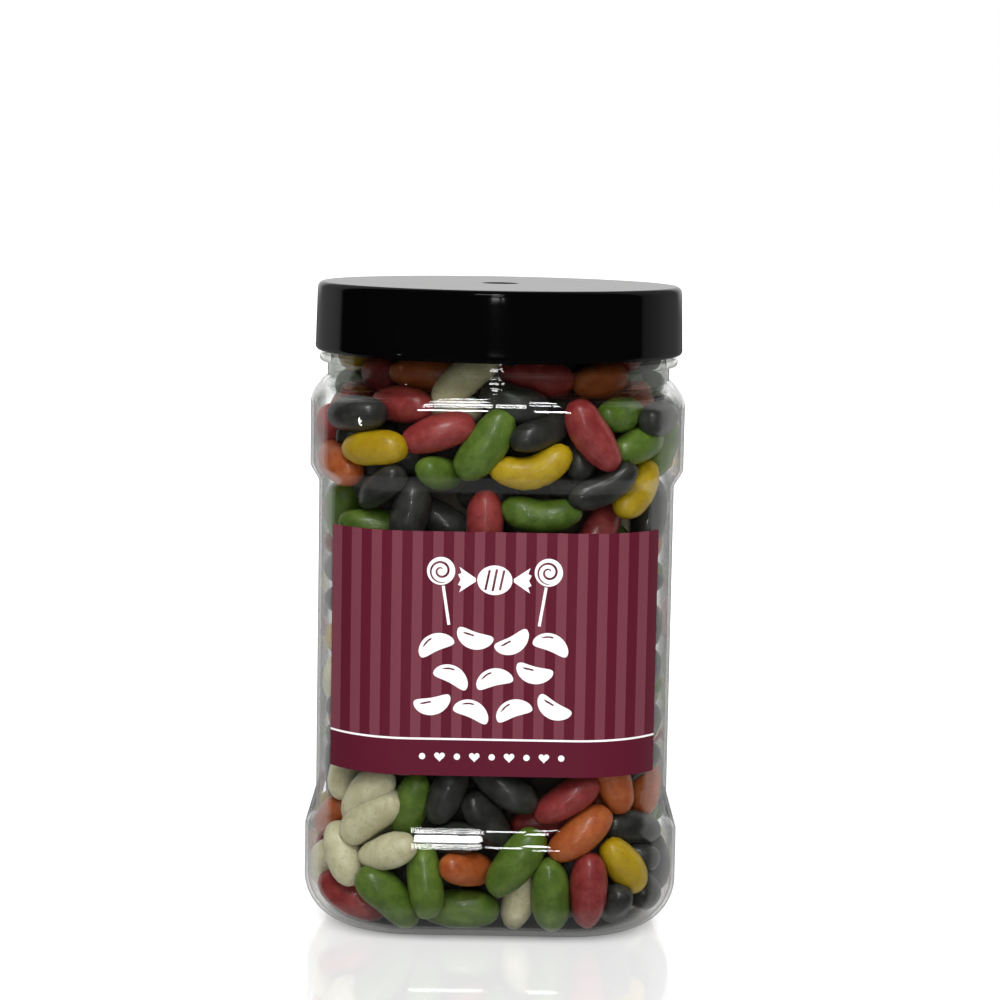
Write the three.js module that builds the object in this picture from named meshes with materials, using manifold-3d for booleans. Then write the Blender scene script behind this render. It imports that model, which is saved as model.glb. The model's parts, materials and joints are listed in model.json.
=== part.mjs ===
// A clear rounded-square sweet jar, full of jelly beans, with a black screw lid and a label
// wrapped round its front. Millimetres, +Z up, the front faces -Y, and the origin is the centre
// of the base on the surface that the jar stands on.
import * as THREE from "three";
import { mergeVertices } from "three/addons/utils/BufferGeometryUtils.js";
import Module from "manifold-3d";

const wasm = await Module();
wasm.setup();

// ---------------------------------------------------------------- driving dimensions
const overallHeight = 155.2;
const clearance = 0.3; // between pieces that touch

const jar = {
  wall: 0.8,
  floor: 0.8,
  lowerHalf: 45.5, // half the width across the flats of the lower band
  panelHalf: 42.9, // of the sunken label panel
  upperHalf: 45.1, // of the upper band
  cornerCentre: 19.0, // from the middle of the jar to the middle of a corner's arc, along X and Y
  heelRadius: 11.2,
  recessRadius: 26, // of the shallow hollow under the base
  recessDepth: 1.0,
  recessSlope: 3.0,
  lowerStep: 25.6, // height of the middle of the slope from the lower band to the panel
  upperStep: 109.8, // height of the middle of the slope from the panel to the upper band
  stepRise: 5.0,
  shoulderLow: 126.8,
  shoulderHigh: 131.4,
  neckRadius: 42.3,
  beadRadius: 44.3, // of the ring that the lid stops above
  beadLow: 135.7,
  beadHigh: 137.6,
  beadSlope: 0.5,
  cornerSides: 6, // faces round each corner
};

const lid = {
  radius: 45.4,
  topRadius: 45.0,
  bottom: 138.3,
  skirt: 1.6,
  top: 1.8,
  edgeRadius: 1.6,
  dimpleRadius: 4.4,
  dimpleDepth: 0.6,
  edgeSides: 4,
  sides: 44,
};

const label = {
  halfLength: 41.3, // measured along the panel, from the middle of the front
  low: 40.8,
  high: 98.9,
  thickness: 0.25,
  cornerSides: 8,
};

const bean = {
  radius: 4.7, // of the body
  endRadius: 4.3, // of the rounded ends
  halfSpine: 4.8, // from the middle of the bean to the middle of an end
  bend: 1.3, // how far the ends curve to one side
  sizeSpread: 0.08,
  wallGap: 0.55,
  sides: 5,
  facetGain: 1.07, // a few-sided bean is this much thicker, to keep the round one's bulk
  endRing: 0.72, // where its last ring of corners lies, as a share of half its length
};

const heap = {
  sideCount: 198,
  floorCount: 20,
  low: 8,
  top: 147,
  coreInset: 6.6, // the solid core lies this far inside the jar's inner wall
  coreSides: 2, // faces round each corner of the core
  hiddenShare: 0.72, // beans are left out behind this share of the label's length
  rounds: 260,
  shoveShare: 0.7, // of an overlap that one push clears
  pushOff: 0.5, // how firmly a bean is pushed out of the wall
  pullIn: 0.15, // how firmly it is drawn up to it
  sink: 0.02, // how firmly a bean on the floor is drawn down
  seed: 71,
};

// ---------------------------------------------------------------- solids and their materials
function solidFrom(geometry) {
  geometry.deleteAttribute("normal");
  geometry.deleteAttribute("uv");
  const merged = mergeVertices(geometry, 1e-3);
  const faces = [];
  const index = merged.index.array;
  for (let i = 0; i < index.length; i += 3) {
    const [a, b, c] = index.slice(i, i + 3);
    if (a !== b && b !== c && a !== c) faces.push(a, b, c);
  }
  const vertProperties = new Float32Array(merged.attributes.position.array);
  const triVerts = new Uint32Array(faces);
  return new wasm.Manifold(new wasm.Mesh({ numProp: 3, vertProperties, triVerts }));
}

function meshOf(solid, name, color, roughness) {
  const { vertProperties, triVerts } = solid.getMesh();
  const geometry = new THREE.BufferGeometry();
  geometry.setAttribute("position", new THREE.BufferAttribute(vertProperties, 3));
  geometry.setIndex(new THREE.BufferAttribute(triVerts, 1));
  const material = new THREE.MeshStandardMaterial({ color, roughness, metalness: 0 });
  const mesh = new THREE.Mesh(geometry, material);
  mesh.name = name;
  return mesh;
}

// ---------------------------------------------------------------- the jar's shape
const mix = THREE.MathUtils.lerp;
const smooth = THREE.MathUtils.smoothstep;

// Half the width and the corner centre of the jar at height z, moved in by inset.
function section(z, inset) {
  const { lowerHalf, panelHalf, upperHalf, heelRadius, cornerCentre, stepRise } = jar;
  const shoulderHigh = jar.shoulderHigh - inset;
  if (z >= shoulderHigh) return { half: jar.neckRadius - inset, centre: 0 };
  if (z > jar.shoulderLow) {
    const rise = (z - jar.shoulderLow) / (shoulderHigh - jar.shoulderLow);
    const turned = 1 - Math.sqrt(1 - rise * rise);
    return {
      half: mix(upperHalf, jar.neckRadius, turned) - inset,
      centre: mix(cornerCentre, 0, turned),
    };
  }
  const low = smooth(z, jar.lowerStep - stepRise / 2, jar.lowerStep + stepRise / 2);
  const high = smooth(z, jar.upperStep - stepRise / 2, jar.upperStep + stepRise / 2);
  const half = mix(mix(lowerHalf, panelHalf, low), upperHalf, high) - inset;
  const depth = Math.max(0, heelRadius - z);
  const curve = heelRadius - inset;
  const heel = curve - Math.sqrt(Math.max(0, curve * curve - depth * depth));
  return { half: half - heel, centre: cornerCentre };
}

// One closed ring of points: a square with round corners, or a circle where its centre is 0.
function ring({ half, centre }, z, cornerSides) {
  const points = [];
  const radius = half - centre;
  for (let corner = 0; corner < 4; corner += 1) {
    for (let side = 0; side <= cornerSides; side += 1) {
      const turn = ((corner + side / cornerSides) * Math.PI) / 2;
      const signX = corner === 0 || corner === 3 ? 1 : -1;
      const signY = corner < 2 ? 1 : -1;
      const x = signX * centre + radius * Math.cos(turn);
      const y = signY * centre + radius * Math.sin(turn);
      points.push([x, y, z]);
    }
  }
  return points;
}

// A closed solid through rings of points, with a point at each end. The rings are taken in the
// order in which they turn to the left about the way from the first end to the last.
function loft(firstTip, rings, lastTip) {
  const count = rings[0].length;
  const positions = [firstTip, ...rings.flat(), lastTip].flat();
  const last = positions.length / 3 - 1;
  const faces = [];
  for (let i = 0; i < count; i += 1) {
    const next = (i + 1) % count;
    faces.push(0, 1 + next, 1 + i);
    for (let k = 0; k + 1 < rings.length; k += 1) {
      const low = 1 + k * count;
      const high = low + count;
      faces.push(low + i, low + next, high + next);
      faces.push(low + i, high + next, high + i);
    }
    faces.push(last - count + i, last - count + next, last);
  }
  const geometry = new THREE.BufferGeometry();
  geometry.setAttribute("position", new THREE.Float32BufferAttribute(positions, 3));
  geometry.setIndex(faces);
  return geometry;
}

// A solid with a flat floor and top through sections of the jar, each of [section, height].
function stack(levels, cornerSides) {
  const rings = levels.map(([shape, z]) => ring(shape, z, cornerSides));
  return solidFrom(loft([0, 0, levels[0][1]], rings, [0, 0, levels.at(-1)[1]]));
}

// The heights at which the jar's shape turns, between a floor and a top.
function heights(inset, floor, top) {
  const list = [floor, top];
  const spread = (low, high, steps, bend) => {
    for (let i = 0; i <= steps; i += 1) list.push(mix(low, high, bend(i / steps)));
  };
  const even = (share) => share;
  spread(inset, jar.heelRadius, 4, (share) => 1 - Math.cos((share * Math.PI) / 2));
  spread(jar.lowerStep - jar.stepRise / 2, jar.lowerStep + jar.stepRise / 2, 3, even);
  spread(jar.upperStep - jar.stepRise / 2, jar.upperStep + jar.stepRise / 2, 3, even);
  const quarter = (share) => Math.sin((share * Math.PI) / 2);
  spread(jar.shoulderLow, jar.shoulderHigh - inset, 4, quarter);
  const kept = list.filter((z) => z >= floor && z <= top).sort((a, b) => a - b);
  return kept.filter((z, i) => i === 0 || z - kept[i - 1] > 0.05);
}

function jarBlank(inset, floor, top) {
  return stack(heights(inset, floor, top).map((z) => [section(z, inset), z]), jar.cornerSides);
}

const lipHeight = overallHeight - lid.top - clearance;
const turns = 4 * jar.cornerSides;

// The room inside the jar up to a height, kept clear of its wall and floor by gap. Its floor
// rises in the middle, over the hollow under the base.
function roomInside(gap, top) {
  const floor = jar.floor + gap;
  const rise = [
    [0, 0],
    [jar.recessRadius + floor, 0],
    [jar.recessRadius + floor, floor],
    [jar.recessRadius - jar.recessSlope + floor, jar.recessDepth + floor],
    [0, jar.recessDepth + floor],
  ];
  return jarBlank(jar.wall + gap, floor, top).subtract(lathe(rise, turns));
}

// Height of the floor inside the jar at a place.
function floorAt({ x, y }) {
  const inner = jar.recessRadius - jar.recessSlope + jar.floor;
  const share = (Math.hypot(x, y) - inner) / jar.recessSlope;
  return jar.floor + jar.recessDepth * (1 - THREE.MathUtils.clamp(share, 0, 1));
}

function makeJar() {
  const past = 1; // how far a cutting shape reaches beyond what it cuts
  const body = jarBlank(0, 0, lipHeight);
  const bead = [
    [0, jar.beadLow],
    [jar.neckRadius, jar.beadLow],
    [jar.beadRadius, jar.beadLow + jar.beadSlope],
    [jar.beadRadius, jar.beadHigh - jar.beadSlope],
    [jar.neckRadius, jar.beadHigh],
    [0, jar.beadHigh],
  ];
  const recess = [
    [0, -past],
    [jar.recessRadius, -past],
    [jar.recessRadius, 0],
    [jar.recessRadius - jar.recessSlope, jar.recessDepth],
    [0, jar.recessDepth],
  ];
  return body
    .add(lathe(bead, turns))
    .subtract(roomInside(0, lipHeight + past))
    .subtract(lathe(recess, turns));
}

// A solid turned about Z from its outline of [radius, height] points, which goes upwards.
function lathe(path, sides) {
  const points = path.map(([radius, z]) => new THREE.Vector2(radius, z));
  const geometry = new THREE.LatheGeometry(points, sides);
  return solidFrom(geometry.rotateX(Math.PI / 2));
}

// ---------------------------------------------------------------- the lid
function makeLid() {
  const path = [
    [0, overallHeight - lid.top],
    [lid.radius - lid.skirt, overallHeight - lid.top],
    [lid.radius - lid.skirt, lid.bottom],
    [lid.radius, lid.bottom],
  ];
  for (let i = 0; i <= lid.edgeSides; i += 1) {
    const turn = ((i / lid.edgeSides) * Math.PI) / 2;
    path.push([
      lid.topRadius - lid.edgeRadius * (1 - Math.cos(turn)),
      overallHeight - lid.edgeRadius * (1 - Math.sin(turn)),
    ]);
  }
  path.push([lid.dimpleRadius, overallHeight]);
  path.push([lid.dimpleRadius - lid.dimpleDepth, overallHeight - lid.dimpleDepth]);
  path.push([0, overallHeight - lid.dimpleDepth]);
  return lathe(path, lid.sides);
}

// ---------------------------------------------------------------- the label
// A point of the label panel, by the distance along it from the middle of the front.
function panelPoint(along, out) {
  const radius = jar.panelHalf - jar.cornerCentre;
  const flat = jar.cornerCentre;
  const side = Math.sign(along);
  const turn = Math.max(0, Math.abs(along) - flat) / radius;
  const x = Math.min(Math.abs(along), flat) + (radius + out) * Math.sin(turn);
  return [side * x, -(flat + (radius + out) * Math.cos(turn))];
}

function makeLabel() {
  const flat = jar.cornerCentre;
  const stops = [-flat, flat];
  for (let i = 1; i <= label.cornerSides; i += 1) {
    const along = mix(flat, label.halfLength, i / label.cornerSides);
    stops.push(along);
    stops.unshift(-along);
  }
  const inner = clearance;
  const outer = clearance + label.thickness;
  const outline = new THREE.Shape();
  stops.forEach((along, i) => {
    if (i === 0) outline.moveTo(...panelPoint(along, outer));
    else outline.lineTo(...panelPoint(along, outer));
  });
  stops.reverse().forEach((along) => outline.lineTo(...panelPoint(along, inner)));
  const depth = label.high - label.low;
  const geometry = new THREE.ExtrudeGeometry(outline, { depth, bevelEnabled: false });
  return solidFrom(geometry.translate(0, 0, label.low));
}

// ---------------------------------------------------------------- the jelly beans
// Draws from 0 to 1 that are the same on every run.
function makeDraws(seed) {
  let state = seed;
  return () => {
    state = (state + 0x6d2b79f5) | 0;
    let t = Math.imul(state ^ (state >>> 15), 1 | state);
    t = (t + Math.imul(t ^ (t >>> 7), 61 | t)) ^ t;
    return ((t ^ (t >>> 14)) >>> 0) / 4294967296;
  };
}

const draw = makeDraws(heap.seed);

// How far the middle of a ball is inside the jar's inner wall and floor, and which way is in.
// A ball meets a sloping wall above or below its middle, so it is tried at a few rises.
function wallAt({ x, y, z }, radius) {
  let nearest = { depth: z - floorAt({ x, y }), inward: new THREE.Vector3(0, 0, 1) };
  for (const rise of [-1, -0.7, 0, 0.7, 1]) {
    const level = Math.sqrt(1 - rise * rise);
    const { half, centre } = section(z + rise * radius, jar.wall);
    const outX = Math.max(0, Math.abs(x) - centre);
    const outY = Math.max(0, Math.abs(y) - centre);
    const out = Math.hypot(outX, outY);
    const depth = half - centre - out + radius * (1 - level);
    if (depth >= nearest.depth) continue;
    const share = level / Math.max(out, 0.001);
    const inward = new THREE.Vector3(-Math.sign(x) * outX * share, -Math.sign(y) * outY * share, -rise);
    nearest = { depth, inward };
  }
  return nearest;
}

function makeBean(place, lying) {
  const size = 1 + bean.sizeSpread * (2 * draw() - 1);
  const turned = new THREE.Quaternion().setFromAxisAngle(
    new THREE.Vector3(0, 0, 1),
    draw() * Math.PI * 2,
  );
  return { place, turn: lying.clone().multiply(turned), size };
}

// The middles of the three balls that stand for a bean: two ends and the middle between them.
function ballsOf({ place, turn, size }) {
  return [-1, 0, 1].map((end) => {
    const local = new THREE.Vector3(end * bean.halfSpine, -Math.abs(end) * bean.bend, 0);
    const radius = (end === 0 ? bean.radius : bean.endRadius) * size;
    const offset = local.multiplyScalar(size).applyQuaternion(turn);
    return { middle: offset.clone().add(place), offset, radius };
  });
}

function shove(item, ball, push) {
  item.place.addScaledVector(push, heap.shoveShare);
  const swing = new THREE.Vector3().crossVectors(ball.offset, push);
  const amount = swing.length() / (bean.halfSpine * bean.halfSpine * 2);
  if (amount < 1e-6) return;
  const turned = new THREE.Quaternion().setFromAxisAngle(swing.normalize(), amount);
  item.turn.premultiply(turned).normalize();
}

// Beans that overlap push each other apart, and each is drawn against the wall or the floor.
function settle(items) {
  const reach = 2 * (bean.halfSpine + bean.radius) * (1 + bean.sizeSpread);
  for (let round = 0; round < heap.rounds; round += 1) {
    const balls = items.map(ballsOf);
    items.forEach((item, i) => {
      for (let j = i + 1; j < items.length; j += 1) {
        if (item.place.distanceTo(items[j].place) > reach) continue;
        balls[i].forEach((a) => balls[j].forEach((b) => {
          const push = new THREE.Vector3().subVectors(a.middle, b.middle);
          const overlap = a.radius + b.radius - push.length();
          if (overlap <= 0) return;
          push.setLength(overlap / 2);
          shove(item, a, push);
          shove(items[j], b, push.clone().negate());
        }));
      }
      balls[i].forEach((ball) => {
        const reachOut = ball.radius * bean.facetGain;
        const { depth, inward } = wallAt(ball.middle, reachOut);
        const gap = depth - reachOut - bean.wallGap;
        if (gap < 0) shove(item, ball, inward.multiplyScalar(-gap * heap.pushOff));
        else if (!item.onFloor) shove(item, ball, inward.multiplyScalar(-gap * heap.pullIn));
        if (item.onFloor) item.place.z = mix(item.place.z, bean.radius, heap.sink);
        item.place.z = Math.min(item.place.z, heap.top);
      });
    });
  }
}

// A few-sided bean: rings about a bent spine, closed at each end by a point.
function beanSolid({ place, turn, size }) {
  const halfLength = bean.halfSpine + bean.endRadius;
  const fullRadius = bean.radius * bean.facetGain;
  const dropAt = (stop) => -bean.bend * (stop / bean.endRing) ** 2;
  const rings = [-bean.endRing, 0, bean.endRing].map((stop) => {
    const radius = fullRadius * Math.sqrt(1 - Math.abs(stop) ** 3);
    return Array.from({ length: bean.sides }, (_, i) => {
      const angle = (i / bean.sides) * Math.PI * 2;
      const across = dropAt(stop) + radius * Math.cos(angle);
      return [stop * halfLength, across, radius * Math.sin(angle)];
    });
  });
  const tip = (side) => [side * halfLength, dropAt(side), 0];
  const geometry = loft(tip(-1), rings, tip(1));
  geometry.scale(size, size, size).applyQuaternion(turn).translate(...place);
  return solidFrom(geometry);
}

// True where the label hides the wall, well inside its edges.
function behindLabel({ x, y, z }) {
  const margin = bean.halfSpine;
  const level = z > label.low + margin && z < label.high - margin;
  const across = Math.abs(x) < label.halfLength * heap.hiddenShare;
  return level && across && y < -jar.cornerCentre;
}

// The middle of the heap: a plain post with round corners, and a round one up in the neck.
function makeCore() {
  const inset = jar.wall + heap.coreInset;
  const post = section(jar.upperStep, inset);
  const neck = section(jar.shoulderHigh, inset);
  const levels = [
    [post, jar.recessDepth + jar.floor + heap.coreInset],
    [post, jar.shoulderLow],
    [neck, jar.shoulderHigh],
    [neck, heap.top],
  ];
  return stack(levels, heap.coreSides);
}

function makeBeans() {
  const items = [];
  const goldenTurn = Math.PI * (3 - Math.sqrt(5));
  for (let i = 0; i < heap.sideCount; i += 1) {
    const z = mix(heap.low, heap.top, (i + 0.5) / heap.sideCount);
    const turn = i * goldenTurn;
    const { half } = section(z, jar.wall + bean.radius);
    const out = new THREE.Vector3(Math.cos(turn), Math.sin(turn), 0);
    const square = Math.max(Math.abs(out.x), Math.abs(out.y));
    const place = out.clone().multiplyScalar((half + half / square) / 2).setZ(z);
    const lying = new THREE.Quaternion().setFromUnitVectors(new THREE.Vector3(0, 0, 1), out);
    items.push(makeBean(place, lying));
  }
  const floorReach = jar.lowerHalf - jar.heelRadius;
  for (let i = 0; i < heap.floorCount; i += 1) {
    const out = floorReach * Math.sqrt((i + 0.5) / heap.floorCount);
    const turn = i * goldenTurn;
    const z = jar.floor + bean.radius;
    const place = new THREE.Vector3(out * Math.cos(turn), out * Math.sin(turn), z);
    items.push({ ...makeBean(place, new THREE.Quaternion()), onFloor: true });
  }
  settle(items);
  const limit = roomInside(clearance, lipHeight - clearance);
  const shown = items.filter((item) => !behindLabel(item.place));
  const pile = shown.reduce((sum, item) => sum.add(beanSolid(item)), makeCore());
  return pile.intersect(limit);
}

// ---------------------------------------------------------------- the whole jar
const sweetJar = new THREE.Group();
sweetJar.add(meshOf(makeJar(), "jar", 0xe8edea, 0.06));
sweetJar.add(meshOf(makeLid(), "lid", 0x0b0b0c, 0.25));
sweetJar.add(meshOf(makeLabel(), "label", 0x6c2336, 0.5));
sweetJar.add(meshOf(makeBeans(), "jelly_beans", 0x6a7d2e, 0.35));

export default sweetJar;
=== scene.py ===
import json
import math

import bmesh
import bpy
import numpy as np
from mathutils import Matrix, Vector

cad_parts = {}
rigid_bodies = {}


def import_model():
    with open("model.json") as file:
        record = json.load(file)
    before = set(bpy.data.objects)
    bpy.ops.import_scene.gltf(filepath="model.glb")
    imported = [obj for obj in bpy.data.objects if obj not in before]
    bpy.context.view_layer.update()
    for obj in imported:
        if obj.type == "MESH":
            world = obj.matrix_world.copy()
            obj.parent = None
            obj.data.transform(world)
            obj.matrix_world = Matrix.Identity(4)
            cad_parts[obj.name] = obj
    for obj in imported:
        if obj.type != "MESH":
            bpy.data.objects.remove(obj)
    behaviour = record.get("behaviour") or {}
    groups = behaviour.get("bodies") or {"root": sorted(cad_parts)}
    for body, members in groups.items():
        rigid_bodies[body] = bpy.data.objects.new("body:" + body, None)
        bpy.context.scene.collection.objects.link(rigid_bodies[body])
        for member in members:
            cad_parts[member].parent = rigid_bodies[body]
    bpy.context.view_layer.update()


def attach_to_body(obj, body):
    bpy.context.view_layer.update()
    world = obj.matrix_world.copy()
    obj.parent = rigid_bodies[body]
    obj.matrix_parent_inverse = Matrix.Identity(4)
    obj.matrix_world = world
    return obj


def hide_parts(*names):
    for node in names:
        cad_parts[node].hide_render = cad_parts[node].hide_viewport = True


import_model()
mm = 0.001
print("jar of jelly beans: frame loaded")


class Wire:  # an output of a node, so that maths on it can be written as an expression
    def __init__(self, tree, socket):
        self.tree = tree
        self.socket = socket

    def maths(self, operation, *values):
        settings = {"operation": operation}
        return addNode(self.tree, "ShaderNodeMath", settings, dict(enumerate(values)))

    def __add__(self, other): return self.maths("ADD", self, other)
    def __radd__(self, other): return self.maths("ADD", other, self)
    def __sub__(self, other): return self.maths("SUBTRACT", self, other)
    def __rsub__(self, other): return self.maths("SUBTRACT", other, self)
    def __mul__(self, other): return self.maths("MULTIPLY", self, other)
    def __rmul__(self, other): return self.maths("MULTIPLY", other, self)
    def __truediv__(self, other): return self.maths("DIVIDE", self, other)
    def __pow__(self, other): return self.maths("POWER", self, other)
    def __neg__(self): return self.maths("MULTIPLY", self, -1.0)

    def least(self, other): return self.maths("MINIMUM", self, other)
    def most(self, other): return self.maths("MAXIMUM", self, other)
    def size(self): return self.maths("ABSOLUTE", self)
    def fraction(self): return self.maths("FRACT", self)

    def ease(self, low, high):  # 0 below low, 1 above high, and smooth between
        settings = {"interpolation_type": "SMOOTHSTEP"}
        return addNode(self.tree, "ShaderNodeMapRange", settings, {0: self, 1: low, 2: high})

    def along(self, axis):
        return addNode(self.tree, "ShaderNodeSeparateXYZ", {}, {0: self}, axis)

    def grey(self):
        return addNode(self.tree, "ShaderNodeCombineColor", {}, {0: self, 1: self, 2: self})

    def mix(self, first, second):  # the first colour where this is 0, the second where it is 1
        settings = {"data_type": "RGBA"}
        return addNode(self.tree, "ShaderNodeMix", settings, {0: self, 6: first, 7: second}, 2)

    def tinted(self, colour):
        settings = {"data_type": "RGBA", "blend_type": "MULTIPLY"}
        return addNode(self.tree, "ShaderNodeMix", settings, {0: 1.0, 6: self, 7: colour}, 2)


def addNode(tree, kind, settings=None, sockets=None, output=0):
    node = tree.nodes.new(kind)
    for name, value in (settings or {}).items():
        setattr(node, name, value)
    for name, value in (sockets or {}).items():
        socket = node.inputs[name]
        if isinstance(value, Wire):
            tree.links.new(value.socket, socket)
        else:
            socket.default_value = (*value, 1) if socket.type == "RGBA" else value
    return Wire(tree, node.outputs[output])


def endTree(tree, kind, name, wire):
    tree.links.new(wire.socket, tree.nodes.new(kind).inputs[name])


def newMaterial(name):
    material = bpy.data.materials.new(name)
    material.use_nodes = True
    tree = material.node_tree
    tree.nodes.clear()
    return material, tree, addNode(tree, "ShaderNodeTexCoord", output="Object")


def finishMaterial(material, surface):
    endTree(material.node_tree, "ShaderNodeOutputMaterial", "Surface", surface)
    return material


def mixShader(share, first, second):
    return addNode(first.tree, "ShaderNodeMixShader", {}, {0: share, 1: first, 2: second})


def noise(coords, scale, detail=2.0, roughness=0.5):
    sockets = {"Vector": coords, "Scale": scale, "Detail": detail, "Roughness": roughness}
    return addNode(coords.tree, "ShaderNodeTexNoise", {}, sockets)


def bump(height, distance):
    sockets = {"Height": height, "Distance": distance, "Strength": 1.0}
    return addNode(height.tree, "ShaderNodeBump", {}, sockets)


def addObject(name, data):
    thing = bpy.data.objects.new(name, data)
    bpy.context.scene.collection.objects.link(thing)
    return thing


def newPiece(name, points, faces, material, smooth=True):
    mesh = bpy.data.meshes.new(name)
    mesh.from_pydata([tuple(p) for p in points], [], faces)
    mesh.validate()
    for face in mesh.polygons:
        face.use_smooth = smooth
    if material:
        mesh.materials.append(material)
    return addObject(name, mesh)


def skinRings(rings, closedEnds=True):  # quads between rings that turn left, and a fan at each end
    count = len(rings[0])
    points = [p for ring in rings for p in ring]
    faces = []
    for k in range(len(rings) - 1):
        low, high = k * count, (k + 1) * count
        for i in range(count):
            j = (i + 1) % count
            faces.append((low + i, low + j, high + j, high + i))
    if closedEnds:
        for start, flip in ((0, True), ((len(rings) - 1) * count, False)):
            middle = len(points)
            points.append(np.mean(points[start:start + count], axis=0))
            for i in range(count):
                a, b = start + i, start + (i + 1) % count
                faces.append((b, a, middle) if flip else (a, b, middle))
    return points, faces


def circle(radius, z, count):
    turn = np.arange(count) / count * 2 * math.pi
    return np.stack([radius * np.cos(turn), radius * np.sin(turn), np.full(count, z)], 1)


def arc(x, z, out, up, start, end, count):  # points round part of an oval, in degrees
    turns = np.radians(np.linspace(start, end, count))
    return [(x + out * math.cos(turn), z + up * math.sin(turn)) for turn in turns]


def turnOutwards(piece, merge=0.0):
    work = bmesh.new()
    work.from_mesh(piece.data)
    if merge:
        bmesh.ops.remove_doubles(work, verts=work.verts, dist=merge)
    bmesh.ops.recalc_face_normals(work, faces=work.faces)
    work.to_mesh(piece.data)
    work.free()


def finalMesh(piece):
    view = bpy.context.evaluated_depsgraph_get()
    return bpy.data.meshes.new_from_object(piece.evaluated_get(view))


def applyModifiers(piece):
    mesh, old = finalMesh(piece), piece.data
    piece.modifiers.clear()
    piece.data = mesh
    mesh.name = piece.name
    bpy.data.meshes.remove(old)


def attach(piece, node):
    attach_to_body(piece, "root")
    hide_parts(node)


jar = {  # in millimetres, apart from the waves
    "wall": 0.8,
    "floor": 0.8,  # how thick the floor is
    "lowerHalf": 45.5,
    "panelHalf": 42.9,
    "upperHalf": 45.1,
    "cornerCentre": 19.0,
    "heel": 11.2,
    "recess": (26.0, 1.0, 3.0),  # radius, depth and slope of the hollow under the base
    "standing": ((-0.5, 0.16), (0, 0.02), (0.5, 0)),  # out from that radius, and height
    "steps": (25.6, 109.8),
    "stepRise": 5.0,
    "upperRing": 119.5,
    "shoulder": (126.8, 131.4),
    "fillet": 0.9,  # between the shoulder and the neck
    "neck": 42.3,
    "neckRings": (141, 145, 149),
    "neckFoot": 137,  # the lowest ring of its inside
    "bead": (44.3, 135.7, 137.6),  # radius, lowest and highest point of the ring below the lid
    "beadRound": 0.5,
    "lip": 153.1,
    "lipRound": 0.4,
    "turns": 160,
    "waveSize": 0.028,  # metres between the slight waves in the blown wall
    "waveDepth": 0.000078,
    "reflection": 0.04,  # share that one face reflects when seen straight on
    "mostReflection": 0.9,
    "gloss": 0.012,
    "foot": (0.2, 3.0, 0.7),  # heights between which the wall darkens towards its base, and how much: partly its thicker plastic, partly painted shade where it meets the floor
    "edge": (24.0, 0.6),  # how narrow and how dark the wall's edge is, seen at a slant
    "tint": (0.985, 0.99, 0.985),  # each time that light passes
    "neckShadeTint": (0.80, 0.81, 0.79),  # the same for the neck: partly its thicker plastic, partly painted shade that stands for the lid's shadow on the beans in it
    "edgeTint": (0.34, 0.34, 0.31),
}


def ease(value, low, high):
    share = np.clip((value - low) / (high - low), 0, 1)
    return share * share * (3 - 2 * share)


def section(z, inset):  # half the width and the corner's centre at each height
    z = np.asarray(z, dtype=float)
    low, high = jar["steps"]
    rise = jar["stepRise"] / 2
    start = jar["shoulder"][0]
    top = max(jar["shoulder"][1] - inset, start + 1)
    half, panel = jar["lowerHalf"], jar["panelHalf"]
    half = half + (panel - half) * ease(z, low - rise, low + rise)
    half = half + (jar["upperHalf"] - half) * ease(z, high - rise, high + rise)
    share = np.clip((z - start) / (top - start), 0, 1)
    turned = 1 - np.sqrt(1 - share * share)
    half = half + (jar["neck"] - half) * turned
    depth = np.maximum(0, jar["heel"] - z)
    curve = jar["heel"] - inset
    heel = curve - np.sqrt(np.maximum(0, curve * curve - depth * depth))
    return half - inset - heel, jar["cornerCentre"] * (1 - turned)


def squareRing(half, centre, z, count):  # a square with round corners, along even directions
    turn = (np.arange(count) + 0.5) / count * 2 * math.pi
    a, b = np.abs(np.cos(turn)), np.abs(np.sin(turn))
    radius = half - centre
    along = centre * (a + b)
    reach = along + np.sqrt(np.maximum(0, along * along - 2 * centre * centre + radius * radius))
    reach = np.where(half * b / a <= centre, half / a, reach)
    reach = np.where(half * a / b <= centre, half / b, reach)
    return np.stack([reach * np.cos(turn), reach * np.sin(turn), np.full(count, z)], axis=1) * mm


def jarHeights(inset, floor, top):
    low, high = jar["steps"]
    rise = jar["stepRise"] / 2
    start, end = jar["shoulder"]
    quarter = np.linspace(0, math.pi / 2, 17)
    lists = [
        inset + (jar["heel"] - inset) * (1 - np.cos(quarter)),
        np.linspace(low - rise, low + rise, 17),
        np.linspace(low + rise, high - rise, 14),
        np.linspace(high - rise, high + rise, 17),
        start + (end - inset - start) * np.sin(quarter),
        [floor, top, (low + jar["heel"]) / 2, jar["upperRing"]],
    ]
    heights = np.unique(np.round(np.concatenate(lists), 4))
    heights = heights[(heights >= floor) & (heights <= top)]
    return heights[np.insert(np.diff(heights) > 0.02, 0, True)]


def floorAt(x, y):  # height of the floor inside, which rises over the hollow under the base
    radius, depth, slope = jar["recess"]
    share = np.clip((np.hypot(x, y) - radius + slope - jar["floor"]) / slope, 0, 1)
    return jar["floor"] + depth * (1 - share)


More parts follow.
